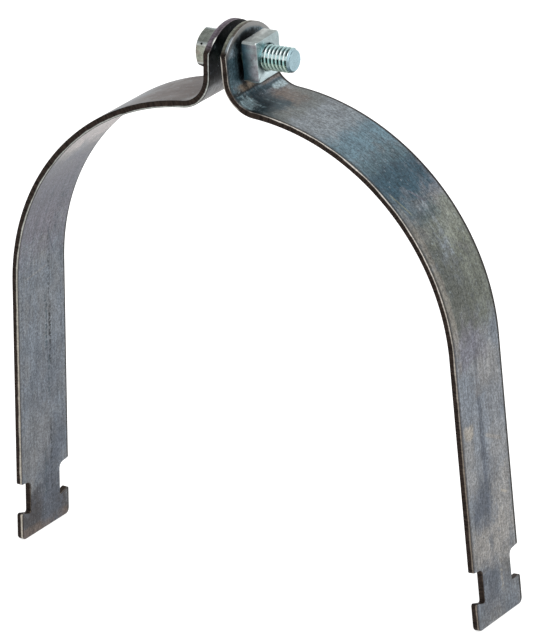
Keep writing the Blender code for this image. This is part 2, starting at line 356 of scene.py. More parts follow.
THREAD_SHARES = [0, 0.05, 0.085, 0.12, 0.2, 0.28, 0.36, 0.43, 0.5, 0.57, 0.64, 0.72, 0.8, 0.88, 0.915, 0.95]


def thread_rows(start, end, limit):
    """Rows of points that follow a right-hand thread from start to end."""
    rows = []
    turns = int((end - start) / THREAD_PITCH) + 3
    for turn in range(-1, turns):
        for share in THREAD_SHARES:

            def place(angle, turn=turn, share=share):
                x = start + THREAD_PITCH * (turn + share + angle / (2 * math.pi))
                x = min(max(x, start), end)
                return x, min(thread_reach(share), limit(x))

            rows.append(place)
    return rows


def hexagon_reach(angle):
    """How far the head's side is from the axis."""
    off = (angle + math.pi / 6) % (math.pi / 3) - math.pi / 6
    return min(HEAD_ACROSS_FLATS / 2 / math.cos(off), HEAD_ACROSS_FLATS / math.sqrt(3) * HEAD_CORNER_SHARE)


def square_reach(angle):
    """How far the nut's side is from the axis, with its corners rounded."""
    half = NUT_ACROSS_FLATS / 2
    off = abs((angle + math.pi / 4) % (math.pi / 2) - math.pi / 4)
    flat_end = half - NUT_CORNER_RADIUS
    if half * math.tan(off) <= flat_end:
        return half / math.cos(off)
    to_corner = flat_end * math.sqrt(2)
    from_corner = math.pi / 4 - off
    rise = to_corner * math.cos(from_corner)
    return rise + math.sqrt(NUT_CORNER_RADIUS**2 - (to_corner * math.sin(from_corner)) ** 2)


def threaded_screw(material):
    lowest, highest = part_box("clamp_screw")
    face, end = lowest.x, highest.x
    under = face + HEAD_HEIGHT
    seat = under + WASHER_FACE_HEIGHT
    edge_circle = HEAD_ACROSS_FLATS / 2 - HEAD_CHAMFER_INSET
    washer = HEAD_ACROSS_FLATS / 2 - WASHER_FACE_INSET
    slope = math.tan(HEAD_CHAMFER)

    def side(lift, inset):
        def reach(angle):
            radius = hexagon_reach(angle)
            return face + (radius - edge_circle) * slope + lift, radius - inset

        return ring(reach, HEAD_TURN)

    def under_side(lift, inset):
        return ring(lambda angle: (under - lift, hexagon_reach(angle) - inset), HEAD_TURN)

    root = SCREW_RADIUS - THREAD_DEPTH
    turned_rows = [
        [(face, 0, AXIS_HEIGHT)],
        circle(face, edge_circle * 0.5),
        circle(face, edge_circle - SOFT_EDGE * 2),
        circle(face + SOFT_EDGE * slope * 0.3, edge_circle),
        circle(face + SOFT_EDGE * 2 * slope, edge_circle + SOFT_EDGE * 2),
        side(-SOFT_EDGE * slope, SOFT_EDGE),
        side(SOFT_EDGE * 0.25, SOFT_EDGE * 0.25),
        side(SOFT_EDGE * 1.5, 0),
        under_side(SOFT_EDGE * 1.5, 0),
        under_side(SOFT_EDGE * 0.3, SOFT_EDGE * 0.3),
        under_side(0, SOFT_EDGE * 1.5),
        circle(under, washer),
        circle(seat - SOFT_EDGE, washer),
        circle(seat, washer - SOFT_EDGE),
        circle(seat, root),
    ]

    def limit(x):
        from_end = SCREW_RADIUS - SCREW_END_CHAMFER + (end - x)
        from_head = root + (x - seat) * RUN_OUT_SLOPE
        return min(from_end, from_head)

    rows = [ring(place) for place in thread_rows(seat, end, limit)]
    closing = [circle(end, (SCREW_RADIUS - SCREW_END_CHAMFER) * 0.5), [(end, 0, AXIS_HEIGHT)]]
    mesh = skin("threaded_screw", turned_rows + rows + closing)
    shown("threaded_screw", mesh, "clamp_screw", "screw", [material], ZINC_SHARP_DEG)


def plated_nut(material):
    lowest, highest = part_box("square_nut")
    inner, outer = lowest.x, highest.x
    slope = math.tan(NUT_CHAMFER)
    mouth = NUT_BORE_RADIUS + NUT_COUNTERSINK

    def corner_drop(radius):
        return max(radius - NUT_CHAMFER_CIRCLE, 0) * slope

    def at(face, inward, lift, inset, chamfer):
        def reach(angle):
            radius = square_reach(angle) - inset
            return face + inward * (corner_drop(radius) * chamfer + lift), radius

        return ring(reach, NUT_TURN)

    def half(face, inward, chamfer):
        rim = NUT_RIM_RADIUS
        return [
            circle(face + inward * NUT_COUNTERSINK, NUT_BORE_RADIUS),
            circle(face + inward * SOFT_EDGE * 0.3, mouth - SOFT_EDGE * 0.3),
            circle(face, mouth + SOFT_EDGE),
            circle(face, mouth + (NUT_ACROSS_FLATS / 2 - mouth) * 0.6),
            at(face, inward, 0, rim, chamfer),
            at(face, inward, rim * 0.08, rim * 0.6, chamfer),
            at(face, inward, rim * 0.3, rim * 0.3, chamfer),
            at(face, inward, rim * 0.6, rim * 0.08, chamfer),
            at(face, inward, rim, 0, chamfer),
        ]

    rows = half(outer, -1, 1.0) + half(inner, 1, 0.0)[::-1]
    rows.append(rows[0])
    mesh = skin("plated_nut", rows)
    shown("plated_nut", mesh, "square_nut", "nut", [material], ZINC_SHARP_DEG)


class Shader:
    """A Principled material, and short words for the nodes that feed it."""

    def __init__(self, name):
        self.material = bpy.data.materials.new(name)
        self.material.use_nodes = True
        self.tree = self.material.node_tree
        self.surface = self.tree.nodes["Principled BSDF"]

    def set(self, socket, value):
        if isinstance(value, bpy.types.NodeSocket):
            self.tree.links.new(value, self.surface.inputs[socket])
        else:
            self.surface.inputs[socket].default_value = value

    def node(self, kind, inputs, **settings):
        made = self.tree.nodes.new(kind)
        for key, value in settings.items():
            setattr(made, key, value)
        for key, value in inputs.items():
            if isinstance(value, bpy.types.NodeSocket):
                self.tree.links.new(value, made.inputs[key])
            else:
                made.inputs[key].default_value = value
        return made

    def attribute(self, name):
        return self.node("ShaderNodeAttribute", {}, attribute_name=name).outputs["Vector"]

    def coordinate(self, name):
        return self.node("ShaderNodeTexCoord", {}).outputs[name]

    def stretch(self, vector, scale, offset=(0, 0, 0)):
        inputs = {"Vector": vector, "Location": offset, "Scale": scale}
        return self.node("ShaderNodeMapping", inputs).outputs["Vector"]

    def noise(self, vector, scale, detail, rough=0.55):
        inputs = {"Vector": vector, "Scale": scale, "Detail": detail, "Roughness": rough}
        return self.node("ShaderNodeTexNoise", inputs).outputs["Fac"]

    def split(self, vector):
        return self.node("ShaderNodeSeparateXYZ", {"Vector": vector}).outputs

    def do(self, operation, first, second=0.0):
        return self.node("ShaderNodeMath", {0: first, 1: second}, operation=operation).outputs[0]

    def product(self, first, *others):
        for other in others:
            first = self.do("MULTIPLY", first, other)
        return first

    def total(self, first, *others):
        for other in others:
            first = self.do("ADD", first, other)
        return first

    def step(self, value, low, high, to_low=0.0, to_high=1.0):
        inputs = {"Value": value, "From Min": low, "From Max": high, "To Min": to_low, "To Max": to_high}
        made = self.node("ShaderNodeMapRange", inputs, interpolation_type="SMOOTHSTEP")
        return made.outputs["Result"]

    def mix(self, share, first, second, blend="MIX"):
        made = self.node("ShaderNodeMix", {}, data_type="RGBA", blend_type=blend)
        for socket, value in ((0, share), (6, first), (7, second)):
            if isinstance(value, bpy.types.NodeSocket):
                self.tree.links.new(value, made.inputs[socket])
            elif socket:
                made.inputs[socket].default_value = (*value, 1)
            else:
                made.inputs[socket].default_value = value
        return made.outputs[2]

    def vectors(self, operation, *inputs, output=0):
        made = self.node("ShaderNodeVectorMath", dict(enumerate(inputs)), operation=operation)
        return made.outputs[output]

    def dim(self, colour, *shades):
        """The colour times the shades."""
        shade = self.product(*shades)
        tone = self.node("ShaderNodeCombineXYZ", {"X": shade, "Y": shade, "Z": shade}).outputs[0]
        return self.mix(1.0, colour, tone, "MULTIPLY")

    def bump(self, height, distance, strength):
        inputs = {"Height": height, "Distance": distance, "Strength": strength}
        return self.node("ShaderNodeBump", inputs).outputs["Normal"]

    def patch(self, where, along, across, reach_along, reach_across, ragged):
        """1 inside a rounded patch of the strip, in millimetres, and 0 outside, with a ragged border."""
        grow = (1 / reach_along, 1 / reach_across, 0)
        move = (-along / reach_along, -across / reach_across, 0)
        off = self.vectors("MULTIPLY_ADD", where, grow, move)
        far = self.vectors("LENGTH", self.vectors("MULTIPLY", off, off), output="Value")
        return self.step(self.do("ADD", far, ragged), 0.1, 1.7, 1.0, 0.0)

    def scratch(self, where, start, end, width):
        """1 on a straight scratch from start to end, both places in the strip, in millimetres."""
        run = Vector((end[0] - start[0], end[1] - start[1]))
        unit = run.normalized()
        middle = ((start[0] + end[0]) / 2, (start[1] + end[1]) / 2, 0)
        from_middle = self.vectors("SUBTRACT", where, middle)
        down = self.vectors("DOT_PRODUCT", from_middle, (unit.x, unit.y, 0), output="Value")
        aside = self.vectors("DOT_PRODUCT", from_middle, (-unit.y, unit.x, 0), output="Value")
        along = self.step(self.do("ABSOLUTE", down), run.length * 0.3, run.length * 0.5, 1.0, 0.0)
        return self.product(along, self.step(self.do("ABSOLUTE", aside), width * 0.3, width, 1.0, 0.0))


def display(red, green, blue):
    """A colour as a screen shows it, 0 to 255, made linear for the shaders."""
    shares = (red / 255, green / 255, blue / 255)
    return tuple(c / 12.92 if c <= 0.04045 else ((c + 0.055) / 1.055) ** 2.4 for c in shares)


# The steel's ground, its stains and its wear, with painted shade and painted highlights among them
SLATE_BLUE = display(86, 92, 102)
BLUE_GREY = display(114, 121, 129)
WARM_GREY = display(126, 126, 126)
BEIGE_GREY = display(146, 143, 139)
PALE_GREY = display(134, 141, 146)
DRAWN_GREY = display(130, 136, 144)
TAN = display(160, 154, 144)
OLIVE = display(94, 97, 91)
PALE_OLIVE = display(124, 128, 117)
TEAL = display(59, 84, 97)
MAUVE = display(112, 110, 119)
PINK_GREY = display(180, 172, 170)
BROWN = display(112, 98, 88)
RUST = display(140, 121, 100)
PALE_NEAR_RIM = display(142, 137, 129)
DARK_BROWN = display(76, 63, 58)
FOOT_GREY = display(66, 64, 66)
SEA_TEAL = display(110, 138, 152)
IRON = display(76, 79, 84)
EAR_TEAL = display(88, 112, 121)
# A painted highlight along the right ear's crown rim
EAR_RIM_HIGHLIGHT = display(150, 148, 146)
# Dark teal: streaks, and in the right bend painted shade and dark reflection under the nut
NIGHT_TEAL = display(44, 64, 72)
LIGHT_TEAL = display(92, 112, 120)
# A painted highlight in the right strap's bend
BLUE_SHEEN = display(190, 212, 218)
# Black: painted shade by the nut and between the ears, and dark streaks on the left leg and a spot on the
# head
SHADE_AND_MARK_BLACK = display(9, 10, 12)
# A painted highlight on the left ear's crown rim
CROWN_GLINT = display(228, 230, 224)
# Bare steel specks, and painted highlights on the ears' rims
BARE_STEEL_AND_GLINT = display(186, 198, 206)

# The sheared edges: broken steel, the band that the shear left, and the crown
EDGE_BROWN = display(40, 35, 33)
BROKEN_DARK = display(26, 20, 18)
BROKEN_BROWN = display(70, 58, 52)
SHEARED_LEG = display(190, 183, 172)
SHEARED_SADDLE = display(240, 234, 226)
WORN_SHEAR = display(136, 126, 116)
SHEARED_EAR = display(184, 188, 184)
CROWN_PLUM = display(104, 94, 102)
CROWN_MAUVE = display(128, 118, 128)
CROWN_GREY = display(142, 144, 132)
CROWN_BROWN = display(96, 90, 82)

# The zinc plating: head, nut, thread and the nut's face round its mouth, with painted reflections, highlights
# and shade
HEAD_GREY = display(194, 198, 184)
HEAD_PALE = display(204, 210, 202)
# The head's top facets: painted shade
HEAD_TOP = display(178, 182, 174)
SCREW_END = display(163, 191, 200)
# The nut's sides, dark teal by the ear to pale outward: a painted reflection of the ear
NUT_TEAL = display(100, 138, 150)
NUT_PALE = display(208, 217, 223)
# The nut's tops: painted shade
NUT_TOP = display(200, 204, 202)
NUT_TOP_FAR = display(158, 168, 166)
NUT_FACE = display(166, 182, 184)
# The lower part of the +X faces: a painted reflection
LOW_FACE_REFLECTION = display(206, 224, 228)
PATINA = display(245, 232, 236)
# A painted highlight along the head's and nut's corner ridges
RIDGE_HIGHLIGHT = display(240, 246, 246)
# The thread's crests and grooves: painted reflections, highlights and shade
CREST_UNDER = display(204, 226, 214)
CREST_SIDE = display(178, 220, 216)
CREST_BRIGHT = display(244, 255, 255)
CREST_TOP = display(168, 198, 198)
GROOVE_UNDER = display(128, 156, 144)
GROOVE_DARK = display(2, 16, 20)
GROOVE_PALE = display(210, 238, 240)
GROOVE_TOP = display(44, 66, 70)
# Round the nut's mouth: painted shade below the screw and a painted reflection above it
MOUTH_DARK = display(8, 40, 48)
MOUTH_PALE = display(186, 236, 242)

# Where the cut edges change from the leg's look to the saddle's, and then past the bend, in millimetres
EDGE_CHANGE = (60.0, 165.0)
EDGE_BEND = (212.0, 234.0)


def strap_face(name, seed, painted_light_outside, crown_tint, stains, dashes, scratches, rims):
    """Oiled mill steel: mottled blue-grey and brown, with drawing marks, grain, specks and stains, some of
    them painted shade, painted reflections and painted highlights.
    """
    shader = Shader(name)
    strip = shader.attribute("strip")
    along, across, out = shader.split(strip)
    here = shader.stretch(strip, (1, 1, 6), (seed, seed * 0.7, 0))
    drawn = (0.7, 1, 1)
    longer = (0.8, 1, 1)
    mottle = shader.noise(shader.stretch(here, drawn), 0.07, 5.0, 0.62)
    cloud = shader.noise(shader.stretch(here, longer, (31, 7, 0)), 0.21, 5.0, 0.68)
    streak = shader.noise(shader.stretch(here, (0.035, 1.3, 1)), 1.0, 4.0, 0.7)
    grain = shader.noise(here, 0.95, 4.0, 0.9)
    blotch = shader.noise(shader.stretch(here, drawn, (3, 90, 0)), 0.45, 4.0, 0.75)
    ragged = shader.step(shader.noise(here, 0.13, 6.0, 0.75), 0.25, 0.75, -0.8, 0.8)
    broken = shader.step(shader.noise(shader.stretch(here, (1.1, 0.4, 1)), 0.8, 2.0, 0.6), 0.42, 0.56)
    waver = shader.step(shader.noise(shader.stretch(here, (0.25, 0.1, 1)), 1.0, 2.0), 0.3, 0.7, -0.5, 0.5)
    flecks = shader.noise(shader.stretch(here, longer, (5, 50, 0)), 0.8, 3.0, 0.6)
    dark_spots = shader.noise(shader.stretch(here, longer, (80, 20, 0)), 0.7, 3.0, 0.6)

    # The face that takes the black painted shade and the crown band: the right strap's outer face, the left
    # strap's inner face
    outer = shader.do("GREATER_THAN", out, STRAP_THICKNESS / MM / 2)
    painted_light_face = outer if painted_light_outside else shader.do("SUBTRACT", 1.0, outer)
    colour = shader.mix(shader.step(mottle, 0.40, 0.62), BLUE_GREY, WARM_GREY)
    for place_along, place_across, reach_along, reach_across, tint, strength in stains:
        spot = shader.patch(strip, place_along, place_across, reach_along, reach_across, ragged)
        # This black is painted shade, kept to that face
        if tint is SHADE_AND_MARK_BLACK:
            spot = shader.product(spot, painted_light_face)
        colour = shader.mix(shader.product(spot, strength), colour, tint)
    colour = shader.mix(shader.product(shader.step(blotch, 0.50, 0.70), 0.35), colour, SLATE_BLUE)
    for start, end, place_across, tint, strength in dashes:
        aside = shader.total(across, waver, -place_across)
        line = shader.step(shader.do("ABSOLUTE", aside), 0.2, 1.1, 1.0, 0.0)
        from_middle = shader.do("ABSOLUTE", shader.do("SUBTRACT", along, (start + end) / 2))
        ends = shader.step(from_middle, (end - start) * 0.3, (end - start) * 0.5, 1.0, 0.0)
        colour = shader.mix(shader.product(line, ends, broken, strength), colour, tint)
    for start, end, width, tint, strength in scratches:
        line = shader.scratch(strip, start, end, width)
        colour = shader.mix(shader.product(line, strength), colour, tint)
    shades = [
        shader.step(cloud, 0.36, 0.64, 0.84, 1.18),
        shader.step(streak, 0.38, 0.62, 0.86, 1.15),
        shader.step(grain, 0.38, 0.62, 0.62, 1.38),
    ]
    colour = shader.dim(colour, *shades)
    colour = shader.mix(shader.product(shader.step(flecks, 0.62, 0.72), 0.30), colour, BARE_STEEL_AND_GLINT)
    colour = shader.mix(shader.product(shader.step(dark_spots, 0.62, 0.74), 0.5), colour, EDGE_BROWN)

    # Along the ear's crown: painted shade on the left strap, a painted highlight on the right
    crown_rim = EAR_CROWN_RADIUS / MM
    ear = BEND_END / MM
    from_crown_centre = shader.stretch(strip, (1, 1, 0), (-CROWN_CENTRE / MM, 0, 0))
    reach = shader.vectors("LENGTH", from_crown_centre, output="Value")
    crown = shader.step(reach, crown_rim - 2.4, crown_rim - 1.2)
    on_ear = shader.step(along, ear + 6.0, ear + 9.0)
    colour = shader.mix(shader.product(crown, on_ear, painted_light_face, 0.85), colour, crown_tint)
    for sign, width, strength in rims:
        rim_start = HALF_WIDTH / MM - width
        rim = shader.step(shader.product(across, sign), rim_start - 0.7, rim_start)
        colour = shader.mix(shader.product(rim, strength), colour, EDGE_BROWN)

    shader.set("Base Color", colour)
    shader.set("Metallic", 0.9)
    cloud_rough = shader.step(cloud, 0.3, 0.7, 0.32, 0.44)
    shader.set("Roughness", shader.total(cloud_rough, shader.step(grain, 0.3, 0.7, -0.05, 0.05)))
    height = shader.total(shader.product(streak, 0.6), grain, shader.product(cloud, 3.0))
    shader.set("Normal", shader.bump(height, 0.02 * MM, 0.9))
    return shader.material


def cut_edge(name, seed, near, from_outer, shares, lights, crown_tints, lines):
    """The sheared edge: a smooth bright band where the shear cut, and dark broken steel past it.

    The shares are the band's part of the depth on the leg and on the saddle, and what is left of it past
    the bend. The lights are its colours on the leg and on the saddle. The lines add the right ear's shear
    band and painted highlights on the rolled rims of the crowns.
    """
    shader = Shader(name)
    strip = shader.attribute("strip")
    along, across, out = shader.split(strip)
    here = shader.stretch(strip, (1, 1, 1), (seed, 0, 0))
    wave = shader.noise(shader.stretch(here, (0.12, 0.5, 0.5)), 1.0, 3.0, 0.6)
    wander = shader.step(wave, 0.25, 0.75, -0.07, 0.07)
    streak = shader.noise(shader.stretch(here, (1.6, 1.6, 0.3)), 1.0, 4.0, 0.75)
    from_inner = shader.do("DIVIDE", out, STRAP_THICKNESS / MM)
    from_outer_face = shader.do("SUBTRACT", 1.0, from_inner)
    depth = from_outer_face if from_outer else from_inner
    nearer = shader.product(across, near)
    near_side = shader.step(nearer, HALF_WIDTH / MM - 0.7, HALF_WIDTH / MM - 0.3)
    near_half = shader.step(nearer, 0.0, 2.0)

    leg_share, saddle_share, bend_share = shares
    band = shader.product(
        shader.step(along, *EDGE_CHANGE, leg_share, saddle_share),
        shader.step(along, *EDGE_BEND, 1.0, bend_share),
        shader.step(near_side, 0.0, 1.0, 0.5, 1.0),
    )
    past = shader.total(depth, wander, shader.product(band, -1.0))
    bright = shader.step(past, -0.08, 0.08, 1.0, 0.0)
    lip = shader.step(depth, 0.05, 0.12)
    dark = shader.mix(shader.step(streak, 0.3, 0.7), BROKEN_DARK, BROKEN_BROWN)
    light = shader.mix(shader.step(along, *EDGE_CHANGE), *lights)
    light = shader.dim(light, shader.step(streak, 0.3, 0.7, 0.7, 1.25))
    crown = shader.step(along, EAR_CORNER / MM + 0.4, EAR_CORNER / MM + 3.5)
    crown_tint = shader.mix(shader.step(shader.total(depth, wander), 0.3, 0.7), *crown_tints)
    dark = shader.mix(crown, dark, shader.dim(crown_tint, shader.step(streak, 0.35, 0.65, 0.6, 1.35)))
    colour = shader.mix(shader.product(bright, lip, shader.step(near_side, 0.0, 1.0, 0.2, 0.95)), dark, light)
    for by_outer, first, last, share, tint, strength in lines:
        deep = shader.total(from_outer_face if by_outer else from_inner, wander)
        line = shader.step(deep, share - 0.08, share + 0.08, 1.0, 0.0)
        start = shader.step(along, first, first + 2.0)
        end = shader.step(along, last - 1.0, last, 1.0, 0.0)
        colour = shader.mix(shader.product(line, start, end, near_half, strength), colour, tint)

    shader.set("Base Color", colour)
    shader.set("Metallic", shader.step(bright, 0.0, 1.0, 0.8, 0.5))
    shader.set("Roughness", shader.step(bright, 0.0, 1.0, 0.55, 0.30))
    shader.set("Normal", shader.bump(streak, 0.05 * MM, 0.8))
    return shader.material


def thread_colour(shader, up, radius):
    """The thread's crests and grooves, painted reflections and shade: pale above and below, with a painted
    highlight band and a band of painted shade between.
    """
    crest = shader.mix(shader.step(up, -0.24, -0.1), CREST_UNDER, CREST_SIDE)
    crest = shader.mix(shader.step(up, 0.16, 0.30), crest, CREST_BRIGHT)
    crest = shader.mix(shader.step(up, 0.8, 0.92), crest, CREST_TOP)
    groove = shader.mix(shader.step(up, -0.30, -0.18), GROOVE_UNDER, GROOVE_DARK)
    groove = shader.mix(shader.step(up, 0.20, 0.34), groove, GROOVE_PALE)
    groove = shader.mix(shader.step(up, 0.52, 0.70), groove, GROOVE_TOP)
    deep = SCREW_RADIUS - THREAD_DEPTH * 0.85
    shallow = SCREW_RADIUS - THREAD_DEPTH * 0.25
    return shader.mix(shader.step(radius, deep, shallow, 1.0, 0.0), crest, groove)


def beside_mouth(shader, across, up, radius, plus_face):
    """1 on the nut's face close to its mouth, on the near side of the screw, fading outward: where painted
    shade and a painted reflection go.
    """
    mouth = shader.step(radius, NUT_BORE_RADIUS + 0.3 * MM, NUT_BORE_RADIUS + 3.4 * MM, 0.9, 0.05)
    near = shader.step(across, -3.4 * MM, -0.6 * MM, 1.0, 0.0)
    level = shader.product(shader.step(up, -0.92, -0.7), shader.step(up, 0.85, 0.98, 1.0, 0.0))
    outside = shader.do("GREATER_THAN", radius, SCREW_RADIUS)
    return shader.product(mouth, near, level, plus_face, outside)


def zinc(name, seed, head_from, corner_from, ends, sides, tops, face_tint, rough, thread_end, dark_spots=()):
    """Bright zinc plate with a cool cast: duller on the sides of the head and nut, with painted reflections,
    highlights and shade on the thread, on the nut's face and round its mouth.

    The sides start at the radius head_from, and a painted highlight lies on their corner ridges past
    corner_from.
    The colours in sides and tops run from the first to the second between the two ends, which are places
    along X.
    On the nut the side colours are a painted reflection of the ear, and the tops of head and nut are painted
    shade.
    """
    shader = Shader(name)
    place = shader.coordinate("Object")
    here = shader.stretch(place, (1 / MM, 1 / MM, 1 / MM), (seed, seed, 0))
    cloud = shader.noise(here, 0.3, 4.0, 0.6)
    grain = shader.noise(here, 2.2, 3.0, 0.7)
    patina = shader.noise(shader.stretch(here, (0.7, 1, 1), (9, 4, 2)), 0.34, 3.0, 0.6)
    tarnish = shader.noise(here, 0.55, 3.0, 0.7)
    along = shader.split(place)[0]
    normal = shader.split(shader.coordinate("Normal"))
    facing = shader.do("ABSOLUTE", normal[0])
    plus_face = shader.step(normal[0], 0.9, 0.97)
    from_axis = shader.vectors("SUBTRACT", place, (0, 0, AXIS_HEIGHT))
    across, above = shader.split(from_axis)[1:3]
    flat = shader.vectors("MULTIPLY", from_axis, (0, 1, 1))
    radius = shader.vectors("LENGTH", flat, output="Value")
    up = shader.do("DIVIDE", above, radius)

    outside = shader.step(radius, head_from, head_from + 0.4 * MM)
    dull = shader.product(outside, shader.step(facing, 0.55, 0.9, 1.0, 0.0))
    # On the nut, the side colours from dark teal by the ear to pale are a painted reflection of the ear
    side = shader.mix(shader.step(along, *ends), *sides)
    side = shader.mix(shader.step(patina, 0.42, 0.58), side, PATINA, "MULTIPLY")
    # Top faces take their own colours: painted shade
    top = shader.mix(shader.step(along, *ends), *tops)
    side = shader.mix(shader.step(normal[2], 0.5, 0.9), side, top)
    side = shader.dim(side, shader.step(cloud, 0.40, 0.60, 0.86, 1.12))
    colour = shader.mix(dull, face_tint, side)
    colour = shader.mix(shader.product(shader.step(tarnish, 0.54, 0.72), dull, 0.5), colour, IRON)
    # A painted highlight along the corner ridges
    ridge_highlight = shader.step(radius, corner_from, corner_from + 0.3 * MM)
    colour = shader.mix(shader.product(ridge_highlight, 0.85), colour, RIDGE_HIGHLIGHT)

    # The thread: painted reflections, highlights and shade by height round the axis
    inside = shader.do("LESS_THAN", radius, SCREW_RADIUS + 0.1 * MM)
    before_end = shader.step(along, thread_end - 0.95 * MM, thread_end - 0.75 * MM, 1.0, 0.0)
    shank = shader.product(inside, shader.step(facing, 0.90, 0.97, 1.0, 0.0), before_end)
    colour = shader.mix(shank, colour, thread_colour(shader, up, radius))
    # The lower part of the +X faces made paler: a painted reflection
    low = shader.product(plus_face, shader.step(above, -5.4 * MM, -3.6 * MM, 1.0, 0.0))
    colour = shader.mix(low, colour, LOW_FACE_REFLECTION)
    # By the nut's mouth: painted shade below the screw and a painted reflection above it
    mouth_reflection = beside_mouth(shader, across, up, radius, plus_face)
    colour = shader.mix(mouth_reflection, colour, shader.mix(shader.step(up, 0.0, 0.5), MOUTH_DARK, MOUTH_PALE))
    for spot, reach in dark_spots:
        away = shader.vectors("DISTANCE", place, spot, output="Value")
        colour = shader.mix(shader.step(away, reach * 0.6, reach, 1.0, 0.0), colour, SHADE_AND_MARK_BLACK)
    shades = [shader.step(cloud, 0.36, 0.64, 0.93, 1.07), shader.step(grain, 0.3, 0.7, 0.86, 1.12)]
    colour = shader.dim(colour, *shades)

    shader.set("Base Color", colour)
    matt = shader.total(shank, shader.product(mouth_reflection, 0.3))
    shader.set("Metallic", shader.step(matt, 0.0, 1.0, 1.0, 0.6))
    cloud_rough = shader.step(cloud, 0.3, 0.7, rough, rough + 0.08)
    shader.set("Roughness", shader.total(cloud_rough, shader.product(dull, 0.06)))
    shader.set("Normal", shader.bump(grain, 0.004 * MM, 0.8))
    return shader.material


# The studio: metres, and watts for the lamp
FLOOR_REACH = 7.0
FLOOR_GAP = 0.05 * MM
FLOOR_GREY = 0.55
FLOOR_GLOW = 0.75
TENT_RADIUS = 5.0
KEY_PLACE = (0.9, -0.5, 1.7)
KEY_TARGET = (0, 0, 0.1)
KEY_SIZE = 0.9
KEY_POWER = 8


def only_reflected(item):
    """Leaves an object to reflections alone."""
    item.visible_camera = False
    item.visible_diffuse = False
    item.visible_transmission = False
    item.visible_volume_scatter = False
    item.visible_shadow = False


def floor():
    """A lit white table, so bright that the clamp throws no shadow on it."""
    mesh = bpy.data.meshes.new("floor")
    reach = FLOOR_REACH
    corners = [(-reach, -reach, 0), (reach, -reach, 0), (reach, reach, 0), (-reach, reach, 0)]
    mesh.from_pydata(corners, [], [(0, 1, 2, 3)])
    ground = bpy.data.objects.new("floor", mesh)
    bpy.context.scene.collection.objects.link(ground)
    ground.location.z = -FLOOR_GAP
    shader = Shader("floor")
    shader.set("Base Color", (FLOOR_GREY, FLOOR_GREY, FLOOR_GREY, 1))
    shader.set("Roughness", 0.9)
    shader.set("Specular IOR Level", 0.0)
    shader.set("Emission Color", (1, 1, 1, 1))
    shader.set("Emission Strength", FLOOR_GLOW)
    mesh.materials.append(shader.material)
    ground.visible_glossy = False


def tent():
    """What the metal reflects: a shell, pale behind the clamp, dimmer before it and above its left."""
    bm = bmesh.new()
    bmesh.ops.create_icosphere(bm, subdivisions=5, radius=TENT_RADIUS)
    mesh = bpy.data.meshes.new("tent")
    bm.to_mesh(mesh)
    bm.free()
    shell = bpy.data.objects.new("tent", mesh)
    bpy.context.scene.collection.objects.link(shell)
    only_reflected(shell)
    shader = Shader("tent")
    place = shader.coordinate("Object")
    towards = shader.vectors("NORMALIZE", place)

    def side(direction, low, high):
        facing = shader.vectors("DOT_PRODUCT", towards, Vector(direction).normalized(), output="Value")
        return shader.step(facing, low, high)

    before, behind = (0.56, 0.56, 0.54), (1.0, 1.0, 1.0)
    above_left, right = (0.34, 0.36, 0.36), (1.25, 1.27, 1.28)
    light = shader.mix(side((0.35, 0.93, 0.0), -0.45, 0.55), before, behind)
    light = shader.mix(side((-0.45, -0.2, 0.87), 0.45, 0.95), light, above_left)
    light = shader.mix(side((0.9, 0.1, 0.35), 0.75, 0.95), light, right)
    glow = shader.node("ShaderNodeEmission", {"Color": light, "Strength": 1.0})
    shader.tree.links.new(glow.outputs[0], shader.tree.nodes["Material Output"].inputs["Surface"])
    shader.tree.nodes.remove(shader.surface)
    shader.material.cycles.emission_sampling = "NONE"
    mesh.materials.append(shader.material)


def soft_light():
    light = bpy.data.lights.new("key", "AREA")
    light.shape = "DISK"
    light.size = KEY_SIZE
    light.energy = KEY_POWER
    lamp = bpy.data.objects.new("key", light)
    bpy.context.scene.collection.objects.link(lamp)
    lamp.location = KEY_PLACE
    lamp.rotation_euler = (Vector(KEY_TARGET) - Vector(KEY_PLACE)).to_track_quat("-Z", "Y").to_euler()


def studio():
    world = bpy.data.worlds.new("studio")
    bpy.context.scene.world = world
    world.use_nodes = True
    sky = world.node_tree.nodes["Background"]
    sky.inputs["Color"].default_value = (1, 1, 1, 1)
    sky.inputs["Strength"].default_value = 1.0
    world.cycles_visibility.glossy = False
    soft_light()
    bpy.context.scene.view_settings.view_transform = "Standard"
    tent()


def camera():
    view = bpy.data.cameras.new("camera")
    view.lens = CAMERA_LENS
    view.sensor_width = CAMERA_SENSOR
    view.clip_start = 0.05
    view.clip_end = 50
    stand = bpy.data.objects.new("camera", view)
    bpy.context.scene.collection.objects.link(stand)
    a, e, r = CAMERA_AZIMUTH, CAMERA_ELEVATION, CAMERA_ROLL
    back = Vector((math.sin(a) * math.cos(e), -math.cos(a) * math.cos(e), math.sin(e)))
    right = Vector((math.cos(a), math.sin(a), 0))
    up = back.cross(right)
    rolled_right = math.cos(r) * right + math.sin(r) * up
    rolled_up = -math.sin(r) * right + math.cos(r) * up
    turn = Matrix((rolled_right, rolled_up, back)).transposed().to_4x4()
    stand.matrix_world = Matrix.Translation(CAMERA_PLACE) @ turn
    bpy.context.scene.camera = stand
